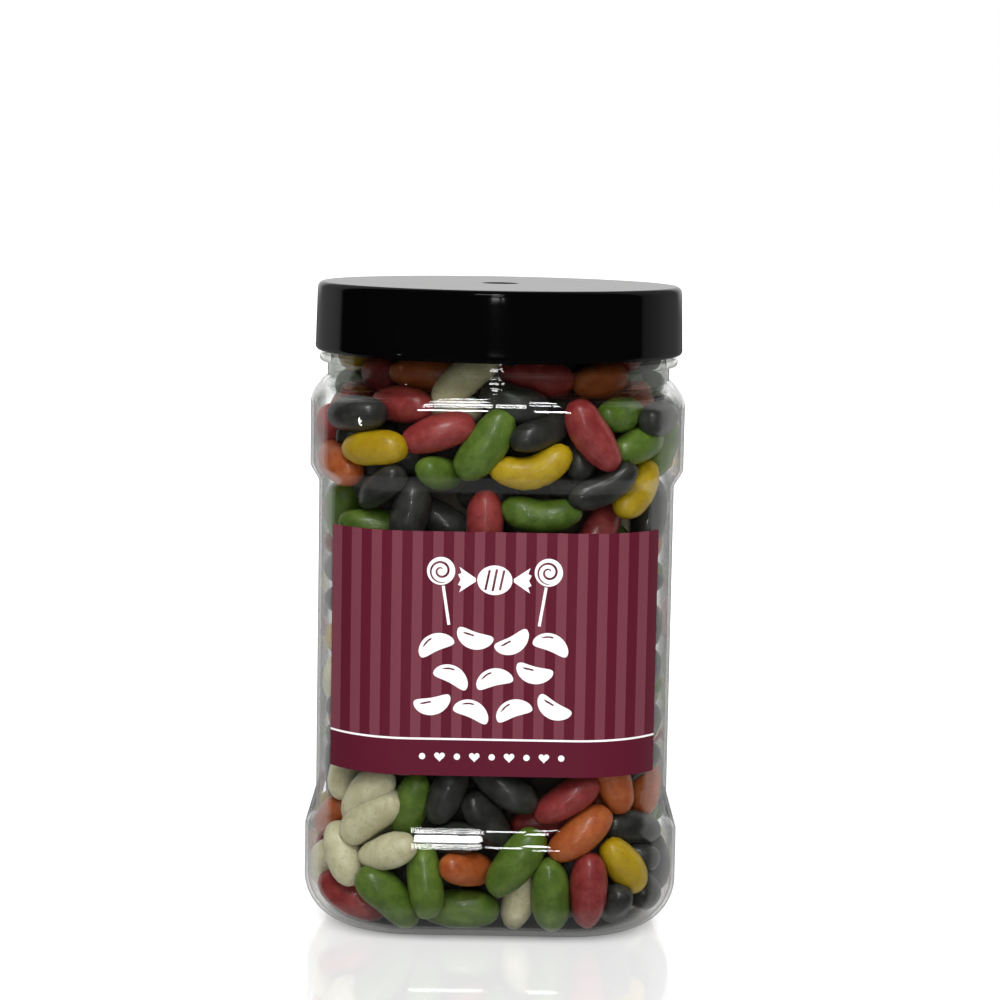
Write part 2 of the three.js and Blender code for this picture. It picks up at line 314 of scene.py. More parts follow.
def jarRings():  # half width, corner's centre and height of each, up outside and down inside
    neck, wall, fillet, bulge = jar["neck"], jar["wall"], jar["fillet"], jar["beadRound"]
    bead, beadLow, beadHigh = jar["bead"]
    radius, depth, slope = jar["recess"]
    low, high = jar["shoulder"]
    lip, flat = jar["lip"] - jar["lipRound"], radius - slope
    base = [(3, depth), (12, depth), (flat - 0.8, depth), (flat, depth - 0.06)]
    base += [(radius + out, z) for out, z in jar["standing"]]
    top = arc(neck + fillet, high + fillet, fillet, fillet, -90, -180, 7)
    top += [(neck, beadLow - 0.3), (neck + 0.25, beadLow - 0.05), (bead - bulge, beadLow)]
    middle, half = (beadLow + beadHigh) / 2, (beadHigh - beadLow) / 2
    top += arc(bead - bulge, middle, bulge, half * 0.95, -90, 90, 9)
    top += [(neck + 0.25, beadHigh + 0.07), (neck, beadHigh + 0.35)]
    top += [(neck, z) for z in (*jar["neckRings"], lip)]
    top += arc(neck - wall / 2, lip, wall / 2, jar["lipRound"], 0, 180, 7)
    top += [(neck - wall, z) for z in (*jar["neckRings"][::-1], jar["neckFoot"])]
    sizes = 30, radius + 0.6, radius - 0.2, flat + 1.2, flat + 0.4, 12, 3
    outside = jarHeights(0, 0, low + (high - low) * 0.95)
    inside = jarHeights(wall, jar["floor"], high - wall)[::-1]
    return [
        *((size, 0, z) for size, z in base), *((*section(z, 0), z) for z in outside),
        *((size, 0, z) for size, z in top), *((*section(z, wall), z) for z in inside),
        *((size, 0, floorAt(size, 0)) for size in sizes)]


def clearPlastic():
    material, tree, coords = newMaterial("clearPlastic")
    wave, fine = (noise(coords, share / jar["waveSize"], 1.0) for share in (1, 4))
    normal = bump(wave + fine * 0.08, jar["waveDepth"])
    sockets = {"Blend": 0.5, "Normal": normal}
    facing = addNode(tree, "ShaderNodeLayerWeight", {}, sockets, "Facing")
    mirrored = jar["reflection"] + (1 - jar["reflection"]) * facing ** 5.0
    thin, thick, edge = (
        addNode(tree, "ShaderNodeBsdfTransparent", {}, {"Color": jar[name]})
        for name in ("tint", "neckShadeTint", "edgeTint"))
    sockets = {"Color": (1.0, 1.0, 1.0), "Roughness": jar["gloss"], "Normal": normal}
    gloss = addNode(tree, "ShaderNodeBsdfGlossy", {"distribution": "GGX"}, sockets)
    height = coords.along("Z")
    low, high = jar["shoulder"]
    # the neck's darker tint is partly painted shade, standing for the lid's shadow over the beans
    # in the neck
    inNeck = height.ease((low + 2) * mm, (high + 1) * mm)
    clear = mixShader(inNeck, thin, thick)
    surface = mixShader(mirrored.least(jar["mostReflection"]), clear, gloss)
    # the wall darkens towards the base: partly its thicker plastic, partly painted shade along the
    # foot
    low, high, dark = jar["foot"]
    foot = (1 - height.ease(low * mm, high * mm)) ** 2.0 * dark
    narrow, dark = jar["edge"]
    return finishMaterial(material, mixShader((facing ** narrow * dark).most(foot), surface, edge))


def makeJarShell():
    rings = [squareRing(*ring, jar["turns"]) for ring in jarRings()]
    return newPiece("jarShell", *skinRings(rings), clearPlastic())


jarShell = makeJarShell()
attach(jarShell, "jar")
print("jar shell:", len(jarShell.data.polygons), "faces")

lid = {
    "radius": 45.4,
    "topRadius": 45.0,
    "bottom": 138.3,
    "height": 155.2,
    "skirt": 1.6,
    "top": 1.8,
    "rim": 1.6,
    "edge": 1.2,  # rounding at the foot of the skirt
    "insideRing": 146,
    "topRings": (42, 38, 33, 28, 22, 16, 11, 7),
    "dimple": (4.4, 0.6),
    "dimpleRound": 0.25,
    "pip": ((2, 0), (1.0, 0), (0.8, 0.15), (0.4, 0.22), (0.02, 0.24)),  # in the dimple's middle
    "turns": 192,
    "black": (0.0012, 0.0012, 0.0014),
    # painted sheen: a paler base colour for the top, standing for the grey it shows where it
    # mirrors the pale backdrop
    "topSheen": (0.045, 0.045, 0.040),
    "roughness": (0.07, 0.12),  # of the skirt, and what the top has more
    "grain": 0.0007,  # metres between the grains of the satin top
    "scuffs": 90.0,
    "waves": 55.0,
    "relief": 0.00003,
}


def lidRings():  # radius and height of each, inside, up the skirt and over the top
    radius, topRadius = lid["radius"], lid["topRadius"]
    bottom, height = lid["bottom"], lid["height"]
    edge, rim, curve = lid["edge"], lid["rim"], lid["dimpleRound"]
    under, inner = height - lid["top"], radius - lid["skirt"]
    dimple, bed = lid["dimple"][0], height - lid["dimple"][1]
    rings = [(0.02, under), (20, under), (inner - 0.8, under), (inner - 0.2, under - 0.2)]
    rings += [(inner, under - 0.8), (inner, lid["insideRing"])]
    rings += [(inner, bottom + 0.3), (inner + 0.3, bottom)]
    rings += arc(radius - edge, bottom + edge, edge, edge, -90, 0, 7)
    for share in np.linspace(0.12, 1, 8):
        out, rise = (topRadius - radius) * share, (height - rim - bottom) * share
        rings.append((radius + out, bottom + rise))
    rings += arc(topRadius - rim, height - rim, rim, rim, 0, 90, 13)[1:]
    rings += [(size, height) for size in (*lid["topRings"], dimple + curve + 0.1)]
    rings += arc(dimple + curve, height - curve, curve, curve, 90, 180, 5)
    rings += [(dimple - 0.1, bed + 0.1), (dimple - curve, bed)]
    return rings + [(size, bed + rise) for size, rise in lid["pip"]]


def blackPlastic():
    material, tree, coords = newMaterial("blackPlastic")
    onTop = coords.along("Z").ease((lid["height"] - 0.08) * mm, (lid["height"] - 0.02) * mm)
    grain = noise(coords, 1 / lid["grain"], 3.0, 0.6)
    scuffs = noise(coords, lid["scuffs"], 4.0, 0.65)
    wave = noise(coords, lid["waves"], 1.0)
    skirt, more = lid["roughness"]
    sockets = {
        # the top is painted paler as painted sheen, varied by the scuffs noise
        "Base Color": ((scuffs * 0.3 + 0.65) * onTop).mix(lid["black"], lid["topSheen"]),
        "Roughness": skirt + onTop * (more + scuffs * 0.02) + scuffs * 0.01,
        "Normal": bump(grain * onTop * 0.5 + wave * 0.6, lid["relief"]),
        "IOR": 1.2,
    }
    surface = addNode(tree, "ShaderNodeBsdfPrincipled", {}, sockets)
    dull = addNode(tree, "ShaderNodeBsdfDiffuse", {}, {"Color": lid["black"]})
    return finishMaterial(material, mixShader((1 - onTop) * 0.3, surface, dull))


def makeLid():
    rings = [circle(radius, z, lid["turns"]) * mm for radius, z in lidRings()]
    points, faces = skinRings(rings)
    piece = newPiece("lidCap", points, [face[::-1] for face in faces], blackPlastic())
    turnOutwards(piece)
    return piece


lidCap = makeLid()
attach(lidCap, "lid")
print("lid:", len(lidCap.data.polygons), "faces")

label = {
    "halfLength": 41.3,  # along the panel from the middle of the front
    "low": 40.8,
    "high": 98.9,
    "gap": 0.3,
    "thickness": 0.25,
    "columns": 85,
    "rows": 25,
    "stripes": 32,
    "lineHeight": 49.6,  # of the thin white line over the plain foot
    "lineHalf": (0.2, 0.28),  # half its width, where it starts and ends to fade
    "light": (0.158, 0.034, 0.053),
    "dark": (0.094, 0.0045, 0.018),
    "foot": (0.094, 0.0045, 0.019),
    "white": (0.86, 0.85, 0.85),
    "grain": 2600.0,
    "clouds": 60.0,
    "relief": 0.00003,
}


def panelPoint(along, out):
    radius, flat = jar["panelHalf"] - jar["cornerCentre"], jar["cornerCentre"]
    turn = max(0.0, abs(along) - flat) / radius
    x = min(abs(along), flat) + (radius + out) * math.sin(turn)
    return math.copysign(x, along), -(flat + (radius + out) * math.cos(turn))


def makeLabel():
    stops = np.linspace(-label["halfLength"], label["halfLength"], label["columns"])
    inner, outer = label["gap"], label["gap"] + label["thickness"]
    rings = []
    for z in np.linspace(label["low"], label["high"], label["rows"]):
        front = [(*panelPoint(s, outer), z) for s in stops]
        back = [(*panelPoint(s, inner), z) for s in stops[::-1]]
        rings.append(np.array(front + back) * mm)
    points, faces = skinRings(rings, closedEnds=False)
    count, length = len(rings[0]), len(stops)
    for start, flip in ((0, True), ((len(rings) - 1) * count, False)):
        for i in range(length - 1):
            a, b, c, d = start + i, start + i + 1, start + count - 2 - i, start + count - 1 - i
            faces.append((d, c, b, a) if flip else (a, b, c, d))
    piece = newPiece("labelSheet", points, faces, labelPaper())
    piece.modifiers.new("edges", "EDGE_SPLIT").split_angle = math.radians(50)
    applyModifiers(piece)
    return piece


def labelPaper():
    material, tree, coords = newMaterial("labelPaper")
    across, height = coords.along("X"), coords.along("Z")
    halfWidth = panelPoint(label["halfLength"], label["gap"] + label["thickness"])[0]
    period = 4 * halfWidth / label["stripes"] * mm
    wave = ((across + halfWidth * mm) / period + 0.25).fraction()
    stripe = ((wave - 0.5).size() - 0.25) * (period / mm)  # millimetres from a stripe's edge
    lightness = 1 - stripe.ease(-0.05, 0.05)
    grain = noise(coords, label["grain"], 2.0, 0.6)
    cloud = noise(coords, label["clouds"], 3.0)
    middle = label["lineHeight"]
    foot = 1 - height.ease((middle - 0.02) * mm, (middle + 0.02) * mm)
    line = 1 - ((height - middle * mm).size() / mm).ease(*label["lineHalf"])
    colour = foot.mix(lightness.mix(label["dark"], label["light"]), label["foot"])
    colour = line.mix(colour, label["white"])
    sockets = {
        "Base Color": colour.tinted((0.93 + grain * 0.08 + cloud * 0.06).grey()),
        "Roughness": 0.42 + cloud * 0.12,
        "Normal": bump(grain * 0.4 + cloud, label["relief"]),
        "IOR": 1.3,
    }
    return finishMaterial(material, addNode(tree, "ShaderNodeBsdfPrincipled", {}, sockets))


labelSheet = makeLabel()
attach(labelSheet, "label")
print("label:", len(labelSheet.data.polygons), "faces")

figures = {  # white print on the label: sweets, lollipops, beans, and a row of hearts and dots
    "rise": 0.03,  # how far the print stands off the label
    "sweet": (0.0, 87.6, 4.1, 3.5),  # middle, and half its length and height without the wings
    "wing": ((0.35, 0.4), (2.0, 1.5), (4.2, 3.0), (3.7, 1.6), (4.5, 1.2), (3.9, 0.0)),
    "sweetStripes": (-1.7, 0.0, 1.7),
    "lollipops": ((-12.6, 89.6, 9), (12.6, 89.6, -9)),  # middle and tilt of each
    "candyRadius": 3.3,
    "spiral": (0.12, 0.74, 0.085),  # where it starts, how far it runs and how thick it is
    "stick": (0.34, 9.6),
    "beanRows": (  # place along, height, tilt and curve of each bean
        (-13.9, 72.6, 24, 1), (-4.7, 73.2, -16, -1), (4.8, 72.4, 30, -1), (13.8, 73.0, -22, 1),
        (-9.4, 65.0, -28, 1), (0.1, 64.6, 14, 1), (9.5, 65.2, -12, -1),
        (-14.0, 57.4, 12, -1), (-4.6, 56.8, -24, 1), (4.7, 57.2, 20, 1), (14.0, 56.9, -30, -1),
    ),
    "beanSize": 4.4,  # half the length of a printed bean
    "beanShine": (
        (-0.68, 0.14), (-0.5, 0.24), (-0.28, 0.29), (-0.08, 0.3),
        (-0.08, 0.22), (-0.28, 0.2), (-0.5, 0.14),
    ),
    "foot": (9, 4.1, 45.4),  # count, spacing and height of the row of hearts and dots
    "heart": 1.25,
    "dot": 0.75,
    "ink": (0.83, 0.82, 0.82),
    "paleInk": (0.9, 0.89, 0.89),
}


def turned(points, x, z, tilt=0):
    c, s = math.cos(math.radians(tilt)), math.sin(math.radians(tilt))
    return [(x + a * c - b * s, z + a * s + b * c) for a, b in points]


def oval(halfLength, halfHeight, steps=40):
    turns = np.linspace(0, 2 * math.pi, steps, endpoint=False)
    return [(halfLength * math.cos(turn), halfHeight * math.sin(turn)) for turn in turns]


def curveLoop(points, steps=8):  # a smooth closed outline through a few points
    loop = []
    count = len(points)
    for i in range(count):
        a, b, c, d = (np.array(points[(i + k - 1) % count]) for k in range(4))
        for step in range(steps):
            t = step / steps
            ease2 = (2 * a - 5 * b + 4 * c - d) * t * t
            ease3 = (3 * b - a - 3 * c + d) * t ** 3
            loop.append(tuple(0.5 * (2 * b + (c - a) * t + ease2 + ease3)))
    return loop


def beanFigure(x, z, tilt, curve):  # an outline and the shine left out of it
    size = figures["beanSize"]

    def bent(a, b):
        return a * size, (b - curve * 0.3 * a * a) * size

    outline = []
    for a, b in oval(1, 1, 44):
        fullA, fullB = (math.copysign(abs(value) ** 0.85, value) for value in (a, b))
        outline.append(bent(fullA, 0.47 * fullB * (1 - 0.06 * a)))
    shine = curveLoop([bent(*spot) for spot in figures["beanShine"]], 4)
    return turned(outline, x, z, tilt), turned(shine, x, z, tilt)


def sweetFigure(x, z, halfLength, halfHeight):
    stripes = []
    for middle in figures["sweetStripes"]:
        reach = halfHeight * 0.74 * math.sqrt(1 - (middle / halfLength) ** 2)
        stripe = [(middle - 0.75, -reach), (middle - 0.2, -reach)]
        stripe += [(middle + 0.75, reach), (middle + 0.2, reach)]
        stripes.append(turned(stripe, x, z))
    shapes = [(turned(oval(halfLength, halfHeight), x, z), *stripes)]
    wing = [*figures["wing"], *((a, -b) for a, b in figures["wing"][-2::-1])]
    for side in (-1, 1):
        shapes.append(turned([(side * (halfLength + a), b) for a, b in wing], x, z))
    return shapes


def lollipopFigure(x, z, tilt):
    radius, (wide, long) = figures["candyRadius"], figures["stick"]
    start, run, thick = figures["spiral"]
    turns = np.linspace(0.6, 3.6 * math.pi, 60)
    reach = radius * (start + run * (turns / turns[-1]))
    thick = radius * thick * np.sin(np.linspace(0, math.pi, 60)) ** 0.4
    outer, inner = (
        [(r * math.cos(t), r * math.sin(t)) for r, t in zip(edge, turns)]
        for edge in (reach + thick, reach - thick))
    stick = [(-wide, -radius - long), (wide, -radius - long)]
    stick += [(wide, -radius - 0.25), (-wide, -radius - 0.25)]
    disc = turned(oval(radius, radius), x, z, tilt)
    return [(disc, turned(outer + inner[::-1], x, z, tilt)), turned(stick, x, z, tilt)]


def heart(x, z, size):
    turns = np.linspace(0, 2 * math.pi, 32, endpoint=False)
    across = 16 * np.sin(turns) ** 3
    up = 13 * np.cos(turns) - 5 * np.cos(2 * turns) - 2 * np.cos(3 * turns) - np.cos(4 * turns)
    return [(x + a * size / 16, z + b * size / 16) for a, b in zip(across, up)]


def figureOutlines():
    shapes = sweetFigure(*figures["sweet"])
    for lollipop in figures["lollipops"]:
        shapes += lollipopFigure(*lollipop)
    shapes += [beanFigure(*spot) for spot in figures["beanRows"]]
    count, gap, z = figures["foot"]
    dot = oval(figures["dot"], figures["dot"], 24)
    for i in range(count):
        x = (i - (count - 1) / 2) * gap
        shapes.append(heart(x, z, figures["heart"]) if i % 2 else turned(dot, x, z))
    return shapes


def makeFigures():
    curve = bpy.data.curves.new("figures", "CURVE")
    curve.dimensions = "2D"
    curve.fill_mode = "BOTH"
    curve.extrude = figures["rise"] / 2 * mm
    for shape in figureOutlines():
        for outline in (shape if isinstance(shape, tuple) else (shape,)):
            spline = curve.splines.new("POLY")
            spline.points.add(len(outline) - 1)
            for point, (x, z) in zip(spline.points, outline):
                point.co = (x * mm, z * mm, 0, 1)
            spline.use_cyclic_u = True
    flat = addObject("figures", curve)
    mesh = finalMesh(flat)
    bpy.data.objects.remove(flat)
    front = -(jar["panelHalf"] + label["gap"] + label["thickness"] + figures["rise"] / 2) * mm
    mesh.transform(Matrix.Translation((0, front, 0)) @ Matrix.Rotation(math.pi / 2, 4, "X"))
    mesh.name = "labelFigures"
    mesh.materials.clear()
    mesh.materials.append(whiteInk())
    piece = addObject("labelFigures", mesh)
    turnOutwards(piece, merge=1e-6)
    return piece


def whiteInk():
    material, tree, coords = newMaterial("whiteInk")
    grain = noise(coords, 2200.0, 2.0, 0.6)
    colour = grain.mix(figures["ink"], figures["paleInk"])
    sockets = {"Base Color": colour, "Roughness": 0.4 + grain * 0.1, "Normal": bump(grain, 0.00001)}
    return finishMaterial(material, addNode(tree, "ShaderNodeBsdfPrincipled", {}, sockets))


labelFigures = makeFigures()
attach(labelFigures, "label")
print("label print:", len(labelFigures.data.polygons), "faces")

bean = {
    "radius": 4.6,
    "endRadius": 4.2,
    "halfSpine": 4.7,
    "halfLength": 9.1,
    "lengthGain": 1.04,  # the cage is larger than the smoothed bean by this much
    "girthGain": 1.12,
    "stops": (-0.86, -0.48, 0.0, 0.48, 0.86),  # where the rings of the cage are
    "sides": 8,
    "fullness": 3.3,  # more is blunter
    "waistWidth": 9,  # more is narrower
    "bendShift": 0.12,  # how far a bend lifts the middle of a bean, as a share
    "ballDrop": 0.26,  # and lowers its ends
    "smoothness": 1,
    "uneven": 0.00112,
    "lumps": 150.0,
    "shapes": (  # bend, girth across the bend, girth the other way, taper, waist
        (1.0, 1.00, 0.97, 0.05, 0.00),
        (2.1, 1.00, 0.95, -0.06, 0.03),
        (3.0, 0.98, 0.96, 0.06, 0.06),
        (3.8, 0.96, 0.95, -0.05, 0.09),
        (4.6, 0.95, 0.94, 0.04, 0.12),
        (0.3, 1.05, 1.01, 0.02, -0.02),
        (1.2, 1.04, 0.93, 0.09, 0.00),
    ),
    "sizes": (0.9, 1.08),
    "stretch": (0.95, 1.05),
    "blotches": 330.0,
    "pores": 1500.0,
    "clouds": 120.0,
    "relief": 0.00018,
}

heap = {
    "count": 700,
    "room": 44,  # half the width of the space that the loose beans start in
    "rounds": 420,
    "freeRounds": 60,  # the hold on the front beans fades away over the last ones
    "search": (8, 2),  # rounds between searches for neighbours, and how much further they reach
    "push": 0.36,  # share of each push that is taken in a round
    "wallPush": 1.2,
    "topPush": 0.5,
    "hold": 0.5,
    "holdDepth": (0.015, 0.12),  # the same for their place across the wall, and for the firmest
    "stiffness": (0.5, 0.15),  # share of a push that a front bean takes, and the firmest
    "order": 0.04,  # how much deeper each front bean starts than the one listed before it
    "sink": 0.02,  # how far the loose beans sink in each round, to fill the jar's foot
    "retreat": 0.03,  # how far those behind the front draw back from the listed beans in a round
    "behind": (-24, 44),  # which those are: further forward than this, and nearer the middle
    "seed": 14,
    "fillBlack": (-20, 46),  # loose beans further forward and nearer the middle are black
    "whitePatch": (-20, 40),  # further left and lower than this they are white instead
    "top": 147.5,
    "wallGap": 0.15,
    "lastGap": 0.3,
    "lastRounds": 6,
    "shellDepth": 20.0,  # beans further in than this are left out, behind the others
}

# colour, distance along the wall from the middle of the front, height, tilt, then any of depth
# behind the wall, curve (-1 has its ends up, 1 its ends down), lean into the heap, shape and
# size: the beans that have a size hold their place best
frontBeans = [
    ("yellow", -28.5, 119.5, 3, {"size": 0.95}),
    ("red", -14.5, 120, 5, {"size": 0.97, "depth": 1}),
    ("green", -3.5, 119.5, 48, {"curve": -1, "size": 1.06, "shape": 1}),
    ("yellow", 8, 113, 12, {"curve": -1, "size": 1.04, "shape": 4}),
    ("red", 22.5, 121.5, -51, {"curve": -1, "size": 1.05, "shape": 1}),
    ("green", 35, 119, 14, {"depth": 3, "size": 0.98}),
    ("green", 33, 127.5, -2, {"depth": 2}),
    ("yellow", 36, 107.5, 39, {"curve": -1, "shape": 3, "size": 0.97}),
    ("green", 10, 102, -2, {"curve": -1, "shape": 3, "size": 1.03}),
    ("red", -2, 98.5, 86, {"depth": 0.5, "size": 1.0}),
    ("red", 25.5, 98, 59, {"depth": 3}),
    ("green", -13.5, 110.5, 1, {"lean": 75, "size": 0.95}),
    ("orange", -43, 112.5, -14, {"size": 1.0}),
    ("green", -30.5, 98.5, -7, {"lean": 30}),
    ("green", -45.5, 100.5, 64, {"depth": 1}),
    ("black", -35, 127, 8, {"size": 1.0}),
    ("red", -24, 127.5, -6, {"depth": 2.5}),
    ("white", -8.5, 133, 35, {"depth": 0.5}),
    ("white", -12, 126, 11, {"depth": 4.5}),
    ("orange", -19.5, 133.5, -2, {}),
    ("red", -39, 132.5, 3, {}),
    ("red", -29, 130, -2, {"depth": 3}),
    ("red", 10, 133, -3, {}),
    ("orange", 26.5, 133, 3, {}),
    ("green", 45.5, 131, 5, {}),
    ("black", 6, 121.5, 85, {"depth": 5}),
    ("black", 12, 123, 76, {"depth": 5}),
    ("black", -23.5, 113.5, 11, {"depth": 6}),
    ("black", -20.5, 101.5, 76, {"depth": 0.5}),
    ("black", -12.5, 100.5, -24, {"depth": 4}),
    ("black", 46.5, 102, 64, {}),
    ("orange", 54, 126, -45, {}),
    ("red", -56, 126.5, 40, {}),
    ("red", -55, 119, 60, {}),
    ("red", -53, 103.5, 70, {}),
    ("black", 22, 109, 1, {"depth": 1}),
    ("black", -4.5, 105, 9, {"depth": 2.5}),
    ("green", 52.5, 118, 65, {}),
    ("black", 3, 129, 11, {"depth": 4}),
    ("black", 16.5, 128, -17, {"depth": 4}),
    ("white", -29.5, 31.5, 48, {"curve": 1, "size": 1.03, "shape": 2}),
    ("orange", -49.5, 25, 34, {"curve": -1, "shape": 2}),
    ("white", -35.5, 19.5, -56, {"size": 0.96}),
    ("white", -49.5, 11, 40, {"size": 1.0}),
    ("white", -25, 20, 20, {"depth": 1.5, "size": 0.95}),
    ("red", -39, 6.5, -26, {"size": 1.08, "lean": 38}),
    ("green", -22.5, 9, -57, {"size": 1.05, "shape": 1, "curve": 1}),
    ("green", -17, 15, -85, {"size": 1.02}),
    ("orange", -7.5, 16, -4, {"lean": 40, "size": 0.95}),
    ("green", -6, 4.5, 2, {"size": 1.07, "curve": 1, "shape": 0}),
    ("green", 6.5, 19, 48, {"size": 1.06, "curve": -1, "shape": 0}),
    ("white", 7, 6.5, 69, {"depth": 2, "size": 0.92}),
    ("green", 15, 10, -81, {"size": 1.04}),
    ("orange", 22, 25, 44, {"size": 1.04}),
    ("yellow", 33.5, 17.5, -45, {"size": 0.97}),
    ("red", 23.5, 11, 88, {"size": 1.03}),
    ("black", 32.5, 5.5, 46, {"depth": 4}),
    ("white", 43, 4, 20, {"depth": 1}),
    ("orange", 28.5, 37.5, -72, {"size": 0.98}),
    ("orange", 35, 30, -11, {"depth": 5}),
    ("orange", 47.5, 33.5, 54, {}),
    ("red", 18.5, 33.5, 28, {"depth": 1, "size": 0.97}),
    ("red", 13.5, 27.5, 6, {"depth": 4}),
    ("yellow", 20, 42, 1, {"depth": 5}),
    ("green", -21.5, 30, 66, {"depth": 0.5, "size": 1.0}),
    ("black", -12.5, 32, 76, {"depth": 0.5}),
    ("black", -2.5, 30.5, 21, {"depth": 0.5}),
    ("black", 5.5, 35.5, -29, {}),
    ("orange", 9, 28.5, 51, {"depth": 6}),
    ("black", 51.5, 14, -62, {}),
    ("red", 41, 24, 6, {"depth": 6}),
    ("green", 53, 24, 50, {}),
    ("orange", 51, 6, 40, {"depth": 1}),
    ("black", -51, 33, 40, {"depth": 3}),
    ("black", -54, 18, 40, {"depth": 3}),
    ("white", 62, 14, 70, {}),
]

beanColours = {  # share of the heap, colour, paler colour of its blotches, how much light soaks in
    "green": (0.24, (0.050, 0.095, 0.009), (0.118, 0.188, 0.027), 0.06),
    "black": (0.30, (0.012, 0.0125, 0.011), (0.042, 0.043, 0.038), 0.0),
    "red": (0.16, (0.160, 0.011, 0.012), (0.30, 0.050, 0.046), 0.06),
    "orange": (0.12, (0.28, 0.050, 0.008), (0.42, 0.125, 0.036), 0.08),
    "yellow": (0.07, (0.31, 0.190, 0.001), (0.43, 0.30, 0.006), 0.05),
    "white": (0.11, (0.38, 0.35, 0.205), (0.55, 0.52, 0.36), 0.2),
}

colourNames = list(beanColours)
draws = np.random.default_rng(heap["seed"])


def unit(vectors):
    return vectors / np.maximum(np.linalg.norm(vectors, axis=-1, keepdims=True), 1e-9)


def squareTo(axis, bend):
    return unit(bend - axis * np.sum(axis * bend, axis=1, keepdims=True))


def wallPlace(along, height, inset):  # a spot on the wall, the way out of it, the way along it
    half, centre = (float(v) for v in section(height, inset))
    radius = max(half - centre, 1.0)
    side, run = math.copysign(1, along), abs(along)
    if run <= centre:
        return np.array([along, -half, height]), np.array([0, -1, 0]), np.array([1, 0, 0])
    turn = min((run - centre) / radius, math.pi / 2)
    rest = max(0, run - centre - radius * math.pi / 2)
    out = np.array([side * math.sin(turn), -math.cos(turn), 0])
    x = side * (centre + radius * math.sin(turn))
    y = -(centre + radius * math.cos(turn)) + rest
    return np.array([x, y, height]), out, np.array([math.cos(turn), side * math.sin(turn), 0])


def layFrontBeans():
    rows = []
    for colour, along, height, tilt, extra in frontBeans:
        inset = jar["wall"] + bean["radius"] + heap["wallGap"] + extra.get("depth", 0)
        spot, out, side = wallPlace(along, height, inset)
        up = np.array([0, 0, 1.0])
        angle, lean = math.radians(tilt), math.radians(extra.get("lean", 0))
        axis = math.cos(angle) * side + math.sin(angle) * up
        across = -math.sin(angle) * side + math.cos(angle) * up
        axis = math.cos(lean) * axis - math.sin(lean) * out
        curve = extra.get("curve", 0)
        bend = across * curve if curve else out
        bend = unit(bend - axis * np.dot(bend, axis))
        shape = extra.get("shape", 2 if curve else len(rows) % 2 * 6)
        size, firm = extra.get("size", 1.0), float("size" in extra)
        rows.append((spot, axis, bend, shape, size, colourNames.index(colour), out, firm))
    return rows


def makeHeap():
    listed = [np.array(values) for values in zip(*layFrontBeans())]
    fixed, count, room = len(frontBeans), heap["count"], heap["room"]
    places = []
    while len(places) < count - fixed:
        spot = draws.uniform((-room, -room, jar["floor"] + 4), (room, room, heap["top"]))
        half, centre = section(spot[2], jar["wall"] + bean["radius"])
        if np.hypot(*np.maximum(0, np.abs(spot[:2]) - centre)) < half - centre:
            places.append(spot)
    place = np.concatenate([listed[0], places])
    axis = unit(draws.normal(size=(count, 3)))
    bend = draws.normal(size=(count, 3))
    shape = draws.integers(0, len(bean["shapes"]), count)
    size = draws.uniform(*bean["sizes"], count)
    shares = np.array([beanColours[name][0] for name in colourNames])
    colour = draws.choice(len(colourNames), count, p=shares / shares.sum())
    for values, own in zip((axis, bend, shape, size, colour), listed[1:]):
        values[:fixed] = own
    bend = squareTo(axis, bend)
    out, firm = listed[6], listed[7][:, None]
    home = place[:fixed].copy(), axis[:fixed].copy(), bend[:fixed].copy(), out
    place[:fixed] -= out * heap["order"] * np.arange(fixed)[:, None] * (1 - firm)
    place, axis, bend = settle(place, axis, bend, shape, size, firm, home)
    depth, _ = wallAt(place, np.full(count, bean["radius"]))
    near = depth < heap["shellDepth"]
    near[:fixed] = True
    forward, wide = heap["fillBlack"]
    front = (place[:, 1] < forward) & (np.abs(place[:, 0]) < wide) & (np.arange(count) >= fixed)
    colour[front] = colourNames.index("black")  # what fills the gaps between the listed beans
    left, low = heap["whitePatch"]
    colour[front & (place[:, 0] < left) & (place[:, 2] < low)] = colourNames.index("white")
    return [values[near] for values in (place, axis, bend, shape, size, colour)]


def ballsOf(place, axis, bend, curve, size):  # two ends and the middle between them
    ends = np.array([-1.0, 0.0, 1.0])
    lift = (bean["bendShift"] - bean["ballDrop"] * np.abs(ends))[None, :] * curve[:, None]
    offset = ends[None, :, None] * bean["halfSpine"] * axis[:, None, :]
    offset = (offset + lift[:, :, None] * bend[:, None, :]) * size[:, None, None]
    radii = np.where(ends == 0, bean["radius"], bean["endRadius"])[None, :] * size[:, None]
    return offset, place[:, None, :] + offset, radii


def wallAt(points, radii):  # how far each ball's middle is from the wall, and the way in
    x, y, z = points.T
    nearest = z - floorAt(x, y)
    inward = np.tile([0.0, 0.0, 1.0], (len(points), 1))
    for rise in (-1.0, -0.7, 0.0, 0.7, 1.0):  # from the foot of the ball to its top
        level = math.sqrt(1 - rise * rise)
        half, centre = section(z + rise * radii, jar["wall"])
        outX, outY = np.maximum(0, np.abs(x) - centre), np.maximum(0, np.abs(y) - centre)
        out = np.maximum(np.hypot(outX, outY), 1e-3)
        depth = half - centre - out + radii * (1 - level)
        wayX, wayY = -np.sign(x) * outX / out * level, -np.sign(y) * outY / out * level
        closer = depth < nearest
        nearest = np.where(closer, depth, nearest)
        inward = np.where(closer[:, None], np.stack([wayX, wayY, 0 * x - rise], 1), inward)
    return nearest, inward


def wallDips(balls, radii, extra=0.0):  # how far each ball is in the wall, and the way out of it
    depth, inward = wallAt(balls.reshape(-1, 3), radii.reshape(-1))
    return np.maximum(0, radii.reshape(-1) + heap["wallGap"] + extra - depth), inward


